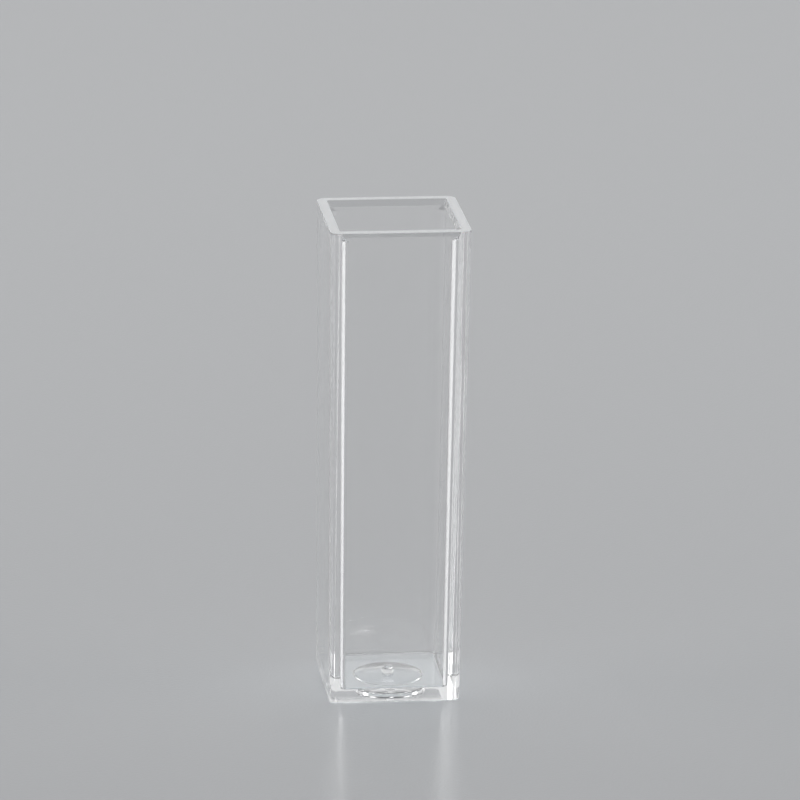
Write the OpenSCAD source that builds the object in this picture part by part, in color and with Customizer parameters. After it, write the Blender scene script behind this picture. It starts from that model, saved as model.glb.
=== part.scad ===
// Square spectrophotometer cuvette with four clear sides, injection moulded
// in one shot of crystal polystyrene. It stands on z = 0, centred on the z
// axis, with its open mouth upwards. All lengths are in millimetres.

/* [Body] */
// Overall height, foot to rim
height = 44; // [35:0.5:50]
// Outside width across the rim
rim_width = 12.6; // [12.4:0.05:13]
// Outside width across the foot, less than the rim's because of the draft
foot_width = 11.85; // [11.6:0.05:12.2]
// Radius of the outside upright corners at the foot
foot_corner_radius = 0.5; // [0.3:0.05:1.5]
// Radius round the bottom edge of the foot
foot_edge_radius = 0.15; // [0.05:0.01:0.3]
// Radius round the outside edge of the rim, which the mould leaves almost sharp
rim_edge_radius = 0.04; // [0.02:0.01:0.2]

/* [Well] */
// Inside width across the mouth
mouth_width = 10.85; // [10.7:0.05:11]
// Depth of the lead-in, the stretch that tapers most
lead_in_depth = 0.57; // [0.3:0.01:1]
// Inside width at the bottom of the lead-in
well_width = 10.42; // [10.3:0.02:10.6]
// Inside width at the floor, which the draft brings to 10 mm in the window
floor_width = 9.78; // [9.6:0.02:10]
// Thickness of the solid base under the well
floor_thickness = 1.05; // [1:0.05:2.5]
// Radius of the edge round the floor
floor_edge_radius = 0.24; // [0.1:0.02:0.4]

/* [Corner flats] */
// How much the square mouth's own corners are cut off, measured along a side
mouth_flat = 0.08; // [0.04:0.01:0.2]
// The same below the sloped triangle that starts each flat
top_flat = 0.62; // [0.4:0.01:0.9]
// The same at the floor
floor_flat = 0.45; // [0.4:0.01:0.8]
// Height of the sloped triangle
triangle_height = 0.37; // [0.2:0.01:0.8]

/* [Pip] */
// Diameter of the round pip on the middle of the floor
pip_diameter = 1.1; // [0.8:0.02:1.6]
// Height of the pip
pip_height = 0.42; // [0.3:0.02:0.6]
// Diameter of the crater in its top
crater_diameter = 0.42; // [0.3:0.02:0.6]
// Depth of the crater
crater_depth = 0.26; // [0.22:0.01:0.4]

/* [Underside] */
// Diameter of the recess that keeps the gate off the bench
recess_diameter = 6.4; // [5:0.1:8]
// Depth of the recess at the edge of its domed roof
recess_depth = 0.3; // [0.2:0.02:0.4]
// Radius where the recess's side meets its roof
recess_edge_radius = 0.25; // [0.05:0.01:0.28]
// Radius of the roof's dome
dome_radius = 36; // [30:1:80]
// Diameter of the stub that the gate leaves in the middle of the recess
gate_diameter = 0.7; // [0.4:0.05:1.2]
// Length of the stub, which ends short of the recess's mouth
gate_length = 0.12; // [0.05:0.01:0.18]

/* [Hidden] */

// The upright corners are cones on fixed axes: their radius grows as fast as
// the drafted walls lean out, so each cone is tangent to both of its walls.
corner_axis = foot_width / 2 - foot_corner_radius;
rim_corner_radius = rim_width / 2 - corner_axis;
// How far cutting shapes run past the surface that they open, and how far
// added ones run into the surface that carries them
overcut = 1;
seat = 0.2;
edge_steps = 4;
dome_steps = 8;
pip_steps = 8;
round_fn = 96;
corner_fn = 64;

// Points of part of an ellipse about a centre, from one angle to another
function arc(centre, radii, from, to, steps) = [
    for (i = [0:steps])
        let (angle = from + (to - from) * i / steps)
            centre + [radii.x * cos(angle), radii.y * sin(angle)]
];

// Half section of a drafted wall, measured outwards from a corner's axis,
// with its edges broken at the foot and at the rim
function wall_section() = concat(
    [[0, 0]],
    arc([foot_corner_radius - foot_edge_radius, foot_edge_radius],
        [foot_edge_radius, foot_edge_radius], -90, 0, edge_steps),
    arc([rim_corner_radius - rim_edge_radius, height - rim_edge_radius],
        [rim_edge_radius, rim_edge_radius], 0, 90, edge_steps),
    [[0, height]]
);

// The same section carried across the body to the wall on the other side
function slab_section() =
    let (
        right = [for (p = wall_section()) if (p.x > 0) [p.x + corner_axis, p.y]],
        last = len(right) - 1
    )
    concat(right, [for (i = [last:-1:0]) [-right[i].x, right[i].y]]);

// Two opposite drafted walls and everything between them
module wall_slab() {
    rotate([90, 0, 0])
        linear_extrude(2 * corner_axis, center = true)
            polygon(slab_section());
}

// Outside of the body: drafted walls with tangent cone corners
module body_blank() {
    wall_slab();
    rotate(90) wall_slab();
    for (x = [-1, 1], y = [-1, 1])
        translate([x * corner_axis, y * corner_axis, 0])
            rotate_extrude($fn = corner_fn)
                polygon(wall_section());
}

// Each level of the well as [half its width, cut of its corners, height]. The
// levels run upwards: the rounded edge of the floor, the flats' full breadth,
// the top of the sloped triangles, and the mouth carried on past the rim. An
// even inset all round shortens the cut of the corners by part of the inset.
function well_levels() =
    let (
        radius = floor_edge_radius,
        cut_share = 2 - sqrt(2),
        mouth_height = height - lead_in_depth,
        lean = (mouth_width - well_width) / 2 / lead_in_depth
    )
    concat(
        [for (i = [0:edge_steps])
            let (inset = radius * (1 - sin(90 * i / edge_steps)))
                [floor_width / 2 - inset,
                 floor_flat - inset * cut_share,
                 floor_thickness + radius * (1 - cos(90 * i / edge_steps))]],
        [[well_width / 2, top_flat, mouth_height - triangle_height],
         [well_width / 2, mouth_flat, mouth_height],
         [mouth_width / 2 + lean * overcut, mouth_flat, height + overcut]]
    );

// The eight corners of one level, anticlockwise from above
function well_ring(level) =
    let (half = level[0], inner = level[0] - level[1])
    [for (turn = [0:90:270], corner = [[half, inner], [inner, half]])
        [corner.x * cos(turn) - corner.y * sin(turn),
         corner.x * sin(turn) + corner.y * cos(turn),
         level[2]]];

// The core pin that leaves the well: every face is flat but the floor's edge
module well() {
    levels = well_levels();
    top = len(levels) - 1;
    polyhedron(
        points = [for (level = levels) each well_ring(level)],
        faces = concat(
            [[for (i = [0:7]) i]],
            [for (i = [0:top - 1], side = [0:7])
                let (next = (side + 1) % 8)
                    [8 * i + side, 8 * i + side + 8, 8 * i + next + 8, 8 * i + next]],
            [[for (i = [7:-1:0]) 8 * top + i]]
        )
    );
}

// Round pip with a crater in its top, left by the tip of the core pin
module pip() {
    crater = crater_diameter / 2;
    lip = (pip_diameter / 2 - crater) / 2;
    lip_height = floor_thickness + pip_height - lip;
    rotate_extrude($fn = round_fn)
        polygon(concat(
            [[0, floor_thickness - seat], [pip_diameter / 2, floor_thickness - seat]],
            arc([crater + lip, lip_height], [lip, lip], 0, 180, 2 * pip_steps),
            arc([0, lip_height], [crater, crater_depth - lip], -90 / pip_steps, -90, pip_steps - 1)
        ));
}

// Height of the domed roof of the recess at a distance from its middle
function roof_height(distance) =
    let (roof_radius = recess_diameter / 2 - recess_edge_radius)
    recess_depth + sqrt(pow(dome_radius, 2) - pow(distance, 2))
        - sqrt(pow(dome_radius, 2) - pow(roof_radius, 2));

// Shallow round recess in the foot, with a domed roof
module foot_recess() {
    radius = recess_diameter / 2;
    edge = recess_edge_radius;
    rotate_extrude($fn = round_fn)
        polygon(concat(
            [[0, -overcut], [radius, -overcut]],
            arc([radius - edge, recess_depth - edge], [edge, edge], 0, 90, edge_steps),
            [for (i = [dome_steps - 1:-1:0])
                let (distance = (radius - edge) * i / dome_steps)
                    [distance, roof_height(distance)]]
        ));
}

// Stub of plastic left where the gate was pulled off
module gate_stub() {
    translate([0, 0, roof_height(0) - gate_length])
        cylinder(gate_length + seat, d = gate_diameter, $fn = round_fn);
}

module cuvette() {
    color([0.86, 0.89, 0.9, 0.45])
        union() {
            difference() {
                body_blank();
                well();
                foot_recess();
            }
            pip();
            gate_stub();
        }
}

cuvette();
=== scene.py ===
import math
import bpy
from mathutils import Matrix, Vector


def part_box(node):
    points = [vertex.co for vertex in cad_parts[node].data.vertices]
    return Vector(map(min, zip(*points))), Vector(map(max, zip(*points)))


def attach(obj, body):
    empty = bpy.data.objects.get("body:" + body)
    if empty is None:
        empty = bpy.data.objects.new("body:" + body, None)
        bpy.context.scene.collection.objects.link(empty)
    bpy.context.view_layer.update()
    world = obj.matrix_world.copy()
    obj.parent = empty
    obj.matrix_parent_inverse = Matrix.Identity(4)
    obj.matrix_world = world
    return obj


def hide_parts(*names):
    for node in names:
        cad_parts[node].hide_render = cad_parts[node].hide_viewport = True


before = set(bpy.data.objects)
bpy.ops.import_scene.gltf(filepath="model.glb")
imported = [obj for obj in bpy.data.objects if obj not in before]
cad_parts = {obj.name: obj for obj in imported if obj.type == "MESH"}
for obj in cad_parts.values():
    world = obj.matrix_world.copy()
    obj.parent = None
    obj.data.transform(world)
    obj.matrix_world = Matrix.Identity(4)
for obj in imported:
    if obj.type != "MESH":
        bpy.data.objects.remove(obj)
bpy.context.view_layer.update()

# ---------------------------------------------------------------------------
# The moulded body
# A square cell with four clear windows and an open mouth, injection moulded in
# one shot of crystal polystyrene. The walls lean outwards to the rim so that
# the part leaves its mould, and each upright corner is a cone tangent to them.

MM = 0.001

low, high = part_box("cuvette")
height = high.z
rim_half = high.x
foot_half = 5.925 * MM
foot_corner_radius = 0.5 * MM
foot_edge_radius = 0.15 * MM
rim_edge_radius = 0.04 * MM
mouth_half = 5.425 * MM
lead_in_depth = 0.57 * MM
well_half = 5.21 * MM
floor_half = 4.89 * MM
floor_height = 1.05 * MM
floor_edge_radius = 0.24 * MM
mouth_flat = 0.08 * MM
top_flat = 0.62 * MM
floor_flat = 0.45 * MM
triangle_height = 0.37 * MM
# How flat the flats are, from a round corner at 0 to a straight cut at 1. They
# are a little hollow, as the thick corners behind them may leave them by sinking.
flatness = 0.75
pip_radius = 0.55 * MM
pip_height = 0.42 * MM
crater_radius = 0.21 * MM
crater_depth = 0.26 * MM
recess_radius = 3.2 * MM
recess_depth = 0.3 * MM
recess_edge_radius = 0.25 * MM
dome_radius = 36 * MM
gate_radius = 0.35 * MM
gate_length = 0.12 * MM
gate_edge_width = 0.2 * gate_radius
gate_edge_length = 0.9 * gate_length

# How many straight steps make each curve of the section
gate_steps = 4
dome_steps = 24
edge_steps = 8
rim_steps = 4
floor_edge_steps = 12
lip_steps = 24
crater_steps = 10

# The outside corners' axes stand still while the walls lean, so their radius grows.
corner_axis = foot_half - foot_corner_radius


def arc(centre, radii, start, end, steps):
    """Points (half width, height) of part of an ellipse, between two angles in degrees."""
    points = []
    for step in range(steps + 1):
        angle = math.radians(start + (end - start) * step / steps)
        points.append((centre[0] + radii[0] * math.cos(angle), centre[1] + radii[1] * math.sin(angle)))
    return points


def rounds(points, axis=0.0):
    """Stations (half width, height, reach of the corner, how flat it is) with round corners."""
    return [(half, level, half - axis, 0.0) for half, level in points]


def flats(points, cut):
    """Stations whose corners are cut off almost flat, by this much of each side."""
    return [(half, level, cut, flatness) for half, level in points]


# Half section of the body, from the middle of the underside round the foot,
# up the outside, over the rim and down the well to the middle of its floor.
roof_radius = recess_radius - recess_edge_radius
dome_centre = recess_depth - math.sqrt(dome_radius**2 - roof_radius**2)
dome_edge = math.degrees(math.acos(roof_radius / dome_radius))
gate_low = dome_centre + dome_radius - gate_length
foot_edge = (foot_half - foot_edge_radius, foot_edge_radius)
rim_edge = (rim_half - rim_edge_radius, height - rim_edge_radius)
recess_edge = (roof_radius, recess_depth - recess_edge_radius)
section = rounds([(0.0, gate_low), (gate_radius - gate_edge_width, gate_low)])
section += rounds(arc((gate_radius, gate_low), (gate_edge_width, gate_edge_length), 180, 90, gate_steps))
section += rounds(arc((0.0, dome_centre), [dome_radius] * 2, 89, dome_edge, dome_steps))
section += rounds(arc(recess_edge, [recess_edge_radius] * 2, 90, 0, edge_steps))
section += rounds([(recess_radius, 0.0)])
section += rounds(arc(foot_edge, [foot_edge_radius] * 2, -90, 0, edge_steps), corner_axis)
section += rounds(arc(rim_edge, [rim_edge_radius] * 2, 0, 90, rim_steps), corner_axis)
section += flats([(mouth_half, height), (well_half, height - lead_in_depth)], mouth_flat)
section += flats([(well_half, height - lead_in_depth - triangle_height)], top_flat)
floor_edge = (floor_half - floor_edge_radius, floor_height + floor_edge_radius)
for half, level in arc(floor_edge, [floor_edge_radius] * 2, 0, -90, floor_edge_steps):
    section += flats([(half, level)], floor_flat - (floor_half - half) * (2 - math.sqrt(2)))
lip = (pip_radius - crater_radius) / 2
lip_height = floor_height + pip_height - lip
section += rounds([(pip_radius, floor_height)])
section += rounds(arc((crater_radius + lip, lip_height), (lip, lip), 0, 180, lip_steps))
section += rounds(arc((0.0, lip_height), (crater_radius, crater_depth - lip), -10, -90, crater_steps))


def add(tree, kind, feeds=None, **settings):
    """Adds one node with its settings, and sets or links the inputs named in feeds."""
    node = tree.nodes.new(kind)
    for name, value in settings.items():
        setattr(node, name, value)
    for socket, value in (feeds or {}).items():
        if isinstance(value, bpy.types.NodeSocket):
            tree.links.new(value, node.inputs[socket])
        else:
            node.inputs[socket].default_value = value
    return node


def linear(hex_colour):
    """An sRGB hex colour as the linear RGBA that the shaders take."""
    channels = [int(hex_colour[i : i + 2], 16) / 255 for i in (1, 3, 5)]
    return (*[c / 12.92 if c <= 0.04045 else ((c + 0.055) / 1.055) ** 2.4 for c in channels], 1.0)


def polystyrene(name, colour, clearness, roughness, relief, depth, strength, shade):
    """Crystal polystyrene with relief of one size in metres, which dims a lamp's light by its shade."""
    plastic = bpy.data.materials.new(name)
    plastic.use_nodes = True
    tree = plastic.node_tree
    tree.nodes.clear()
    place = add(tree, "ShaderNodeTexCoord").outputs["Object"]
    noise = add(tree, "ShaderNodeTexNoise", {"Vector": place, "Scale": 1 / relief, "Detail": 2.0})
    bump = add(
        tree, "ShaderNodeBump", {"Height": noise.outputs["Fac"], "Strength": strength, "Distance": depth}
    )
    surface = add(
        tree,
        "ShaderNodeBsdfPrincipled",
        {
            "Base Color": linear(colour),
            "Roughness": roughness,
            "IOR": 1.59,
            "Transmission Weight": clearness,
            "Normal": bump.outputs["Normal"],
        },
    )
    path = add(tree, "ShaderNodeLightPath")
    passing = add(tree, "ShaderNodeBsdfTransparent", {"Color": linear(shade)})
    mixed = add(
        tree,
        "ShaderNodeMixShader",
        {0: path.outputs["Is Shadow Ray"], 1: surface.outputs["BSDF"], 2: passing.outputs["BSDF"]},
    )
    add(tree, "ShaderNodeOutputMaterial", {"Surface": mixed.outputs["Shader"]})
    return plastic


# Crystal polystyrene from a polished mould: glass clear, with a high gloss and
# the faint waves, a few millimetres long, that the plastic's flow leaves in it.
clear = polystyrene(
    "polished_crystal_polystyrene", "#FEFEFE", 1.0, 0.01, 4.5 * MM, 0.1 * MM, 0.03, "#F2F4F5"
)
# The same plastic on the rim, where the mould's face is left satin: its grain of
# a tenth of a millimetre scatters the light, so that the rim shows pale grey.
satin = polystyrene(
    "satin_crystal_polystyrene", "#F8F9FA", 0.3, 0.5, 0.1 * MM, 0.03 * MM, 0.35, "#C8CCCE"
)
# And on the underside, where the mould was only stoned smooth: still clear, but
# soft enough that the recess shows a blurred highlight.
stoned = polystyrene(
    "stoned_crystal_polystyrene", "#FCFDFD", 1.0, 0.07, 0.2 * MM, 0.01 * MM, 0.1, "#EEF0F1"
)

# Geometry nodes that carry the half section round the four corners. Each turn
# is a row of the grid, which takes its width, corner axis and height from one
# station of the section.
loft = bpy.data.node_groups.new("section_round_square", "GeometryNodeTree")
for name, kind in (
    ("Section", "NodeSocketGeometry"),
    ("Steps In A Corner", "NodeSocketInt"),
    ("Rim Height", "NodeSocketFloat"),
    ("Underside Height", "NodeSocketFloat"),
    ("Weld Distance", "NodeSocketFloat"),
    ("Polished", "NodeSocketMaterial"),
    ("Satin", "NodeSocketMaterial"),
    ("Stoned", "NodeSocketMaterial"),
):
    loft.interface.new_socket(name, in_out="INPUT", socket_type=kind)
loft.interface.new_socket("Body", in_out="OUTPUT", socket_type="NodeSocketGeometry")
given = add(loft, "NodeGroupInput").outputs
station_count = add(
    loft, "GeometryNodeAttributeDomainSize", {"Geometry": given["Section"]}, component="MESH"
).outputs["Point Count"]
per_corner = add(
    loft, "ShaderNodeMath", {0: given["Steps In A Corner"], 1: 1.0}, operation="ADD"
).outputs[0]
around = add(loft, "ShaderNodeMath", {0: per_corner, 1: 4.0, 2: 1.0}, operation="MULTIPLY_ADD").outputs[0]
grid = add(
    loft, "GeometryNodeMeshGrid", {"Vertices X": station_count, "Vertices Y": around}
).outputs["Mesh"]
index = add(loft, "GeometryNodeInputIndex").outputs["Index"]
station = add(
    loft,
    "ShaderNodeMath",
    {0: add(loft, "ShaderNodeMath", {0: index, 1: around}, operation="DIVIDE").outputs[0]},
    operation="FLOOR",
).outputs[0]
column = add(loft, "ShaderNodeMath", {0: index, 1: around}, operation="MODULO").outputs[0]
corner = add(
    loft,
    "ShaderNodeMath",
    {0: add(loft, "ShaderNodeMath", {0: column, 1: per_corner}, operation="DIVIDE").outputs[0]},
    operation="FLOOR",
).outputs[0]
step = add(loft, "ShaderNodeMath", {0: column, 1: per_corner}, operation="MODULO").outputs[0]
sampled = add(
    loft,
    "GeometryNodeSampleIndex",
    {
        "Geometry": given["Section"],
        "Value": add(loft, "GeometryNodeInputPosition").outputs["Position"],
        "Index": station,
    },
    data_type="FLOAT_VECTOR",
).outputs["Value"]
half, reach, level = add(loft, "ShaderNodeSeparateXYZ", {"Vector": sampled}).outputs
flat = add(
    loft,
    "GeometryNodeSampleIndex",
    {
        "Geometry": given["Section"],
        "Value": add(loft, "GeometryNodeInputNamedAttribute", {"Name": "flat"}).outputs["Attribute"],
        "Index": station,
    },
).outputs["Value"]
share = add(
    loft, "ShaderNodeMath", {0: step, 1: given["Steps In A Corner"]}, operation="DIVIDE"
).outputs[0]
# A round corner keeps its reach all the way round. A flat one is nearest to
# the corner's axis half way, at the cosine of an eighth of a turn.
aside = add(
    loft, "ShaderNodeMath", {0: share, 1: math.pi / 2, 2: -math.pi / 4}, operation="MULTIPLY_ADD"
).outputs[0]
cosine = add(loft, "ShaderNodeMath", {0: aside}, operation="COSINE").outputs[0]
chord = add(loft, "ShaderNodeMath", {0: math.cos(math.pi / 4), 1: cosine}, operation="DIVIDE").outputs[0]
stretch = add(loft, "ShaderNodeMix", {0: flat, 2: 1.0, 3: chord}, data_type="FLOAT").outputs[0]
radius = add(loft, "ShaderNodeMath", {0: reach, 1: stretch}, operation="MULTIPLY").outputs[0]
axis = add(loft, "ShaderNodeMath", {0: half, 1: reach}, operation="SUBTRACT").outputs[0]
diagonal = add(loft, "ShaderNodeMath", {0: axis, 1: math.sqrt(2)}, operation="MULTIPLY").outputs[0]
middle = add(
    loft, "ShaderNodeMath", {0: corner, 1: math.pi / 2, 2: math.pi / 4}, operation="MULTIPLY_ADD"
).outputs[0]
turn = add(loft, "ShaderNodeMath", {0: middle, 1: aside}, operation="ADD").outputs[0]
across = {}
for letter, wave in (("X", "COSINE"), ("Y", "SINE")):
    to_axis = add(
        loft,
        "ShaderNodeMath",
        {0: add(loft, "ShaderNodeMath", {0: middle}, operation=wave).outputs[0], 1: diagonal},
        operation="MULTIPLY",
    ).outputs[0]
    across[letter] = add(
        loft,
        "ShaderNodeMath",
        {0: add(loft, "ShaderNodeMath", {0: turn}, operation=wave).outputs[0], 1: radius, 2: to_axis},
        operation="MULTIPLY_ADD",
    ).outputs[0]
spot = add(loft, "ShaderNodeCombineXYZ", {"X": across["X"], "Y": across["Y"], "Z": level})
shell = add(
    loft, "GeometryNodeSetPosition", {"Geometry": grid, "Position": spot.outputs["Vector"]}
).outputs["Geometry"]
outward = add(loft, "GeometryNodeFlipFaces", {"Mesh": shell}).outputs["Mesh"]
welded = add(
    loft, "GeometryNodeMergeByDistance", {"Geometry": outward, "Distance": given["Weld Distance"]}
).outputs["Geometry"]
polished = add(
    loft, "GeometryNodeSetMaterial", {"Geometry": welded, "Material": given["Polished"]}
).outputs["Geometry"]
face_height = add(
    loft,
    "ShaderNodeSeparateXYZ",
    {"Vector": add(loft, "GeometryNodeInputPosition").outputs["Position"]},
).outputs["Z"]
on_rim = add(
    loft, "FunctionNodeCompare", {0: face_height, 1: given["Rim Height"]}, operation="GREATER_THAN"
)
dressed = add(
    loft,
    "GeometryNodeSetMaterial",
    {"Geometry": polished, "Selection": on_rim.outputs["Result"], "Material": given["Satin"]},
).outputs["Geometry"]
underside = add(
    loft, "FunctionNodeCompare", {0: face_height, 1: given["Underside Height"]}, operation="LESS_THAN"
)
footed = add(
    loft,
    "GeometryNodeSetMaterial",
    {"Geometry": dressed, "Selection": underside.outputs["Result"], "Material": given["Stoned"]},
).outputs["Geometry"]
whole = add(loft, "GeometryNodeRealizeInstances", {"Geometry": footed}).outputs["Geometry"]
add(loft, "NodeGroupOutput", {"Body": whole})

outline = bpy.data.meshes.new("section")
outline.from_pydata(
    [(across, reach, up) for across, up, reach, flat in section],
    [(i, i + 1) for i in range(len(section) - 1)],
    [],
)
corner_kinds = outline.attributes.new("flat", "FLOAT", "POINT")
corner_kinds.data.foreach_set("value", [station[3] for station in section])
maker = bpy.data.objects.new("section", outline)
bpy.context.scene.collection.objects.link(maker)
swept = maker.modifiers.new("Section round square", "NODES")
swept.node_group = loft
sizes = {
    "Steps In A Corner": 64,
    "Rim Height": height - 0.01 * MM,
    "Underside Height": 0.5 * MM,
    "Weld Distance": 0.0001 * MM,
    "Polished": clear,
    "Satin": satin,
    "Stoned": stoned,
}
for socket in loft.interface.items_tree:
    if socket.in_out == "INPUT" and socket.name in sizes:
        swept[socket.identifier] = sizes[socket.name]

shape = bpy.data.meshes.new_from_object(maker.evaluated_get(bpy.context.evaluated_depsgraph_get()))
shape.name = "cuvette_body"
shape.materials.pop(index=0)  # the empty slot that the grid starts with
bpy.data.objects.remove(maker)
body = bpy.data.objects.new("cuvette_body", shape)
bpy.context.scene.collection.objects.link(body)

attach(body, "root")
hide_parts("cuvette")

# ---------------------------------------------------------------------------
# The studio
# A floor of pale laminate that runs out of view on every side, with a softbox
# at each side, a broad one overhead and a small one behind. The floor mirrors
# the side ones into the flats of the well's corners, which show them as stripes.

floor_radius = 2.5
gap_under_foot = 0.02 * MM  # two faces in one plane would hide each other
laminate_grain = 0.3 * MM

bpy.ops.mesh.primitive_circle_add(vertices=96, radius=floor_radius, fill_type="NGON")
floor = bpy.context.object
floor.name = "studio_floor"
floor.location.z = -gap_under_foot
laminate = bpy.data.materials.new("pale_laminate")
laminate.use_nodes = True
tree = laminate.node_tree
tree.nodes.clear()
grain = add(
    tree,
    "ShaderNodeTexNoise",
    {
        "Vector": add(tree, "ShaderNodeTexCoord").outputs["Object"],
        "Scale": 1 / laminate_grain,
        "Detail": 2.0,
    },
)
emboss = add(
    tree, "ShaderNodeBump", {"Height": grain.outputs["Fac"], "Strength": 0.6, "Distance": 0.03 * MM}
)
top = add(
    tree,
    "ShaderNodeBsdfPrincipled",
    {
        "Base Color": linear("#B6B7B9"),
        "Roughness": 0.2,
        "IOR": 1.45,
        "Normal": emboss.outputs["Normal"],
    },
)
add(tree, "ShaderNodeOutputMaterial", {"Surface": top.outputs["BSDF"]})
floor.data.materials.append(laminate)

# The room round the table: pale walls up to 20 degrees above the horizon, which
# darken evenly to a dim ceiling. The limits are sines of that angle.
wall_top = 0.35
ceiling_edge = 0.7
studio = bpy.data.worlds.new("studio")
bpy.context.scene.world = studio
studio.use_nodes = True
tree = studio.node_tree
tree.nodes.clear()
direction = add(tree, "ShaderNodeTexCoord").outputs["Generated"]
rise = add(tree, "ShaderNodeSeparateXYZ", {"Vector": direction}).outputs["Z"]
walls = add(tree, "ShaderNodeMapRange", {"Value": rise, "From Min": wall_top, "From Max": ceiling_edge})
room = add(
    tree,
    "ShaderNodeMix",
    {"Factor": walls.outputs["Result"], "A": linear("#E4E5E6"), "B": linear("#505153")},
    data_type="RGBA",
)
air = add(tree, "ShaderNodeBackground", {"Color": room.outputs["Result"], "Strength": 1.0})
add(tree, "ShaderNodeOutputWorld", {"Surface": air.outputs["Background"]})


def softbox(name, place, target, width, tall, power):
    """An area light at a place, turned to a target, in metres and watts."""
    lamp = bpy.data.lights.new(name, "AREA")
    lamp.shape = "RECTANGLE"
    lamp.size = width
    lamp.size_y = tall
    lamp.energy = power
    holder = bpy.data.objects.new(name, lamp)
    bpy.context.scene.collection.objects.link(holder)
    holder.location = place
    holder.rotation_euler = (Vector(target) - Vector(place)).to_track_quat("-Z", "Y").to_euler()
    holder.visible_camera = False


softbox("left_softbox", (-0.447, 0.05, 0.22), (0, 0, 0.02), 0.25, 0.3, 0.66)
softbox("right_softbox", (0.4475, -0.047, 0.22), (0, 0, 0.02), 0.25, 0.3, 0.62)
softbox("top_softbox", (0.0, 0.25, 0.7), (0, 0.05, 0), 0.3, 0.3, 1.7)
softbox("back_softbox", (0.057, 0.463, 0.378), (0, 0, 0), 0.045, 0.05, 0.022)

# ---------------------------------------------------------------------------
# The camera
# A long lens that looks down on the cuvette, a little from its left.

view_yaw = math.radians(7.0)
view_elevation = math.radians(17.07)
view_roll = math.radians(0.83)
view_distance = 0.5207
focal_length = 259.55
pivot = Vector((0, 0, 22.68 * MM))
aim_aside = 0.81 * MM
aim_above = 3.9 * MM

forward = Vector(
    (
        math.sin(view_yaw) * math.cos(view_elevation),
        math.cos(view_yaw) * math.cos(view_elevation),
        -math.sin(view_elevation),
    )
)
right = Vector((math.cos(view_yaw), -math.sin(view_yaw), 0))
upward = right.cross(forward)
stand = pivot - forward * view_distance
aim = pivot + right * aim_aside + upward * aim_above
back = (stand - aim).normalized()
side = Vector((0, 0, 1)).cross(back).normalized()
turned = Matrix((side, back.cross(side), back)).transposed() @ Matrix.Rotation(view_roll, 3, "Z")
lens = bpy.data.cameras.new("camera")
lens.lens = focal_length
lens.clip_start = 0.01
camera = bpy.data.objects.new("camera", lens)
bpy.context.scene.collection.objects.link(camera)
camera.matrix_world = Matrix.Translation(stand) @ turned.to_4x4()
bpy.context.scene.camera = camera

bpy.context.scene.view_settings.view_transform = "Standard"
# Light runs round and round inside the thin walls before it gets out. Where it
# is cut off too soon, the lead-in shows dark bars.
wall_bounces = 160
bpy.context.scene.cycles.max_bounces = wall_bounces
bpy.context.scene.cycles.transmission_bounces = wall_bounces
bpy.context.scene.cycles.glossy_bounces = wall_bounces
bpy.context.scene.cycles.transparent_max_bounces = 16
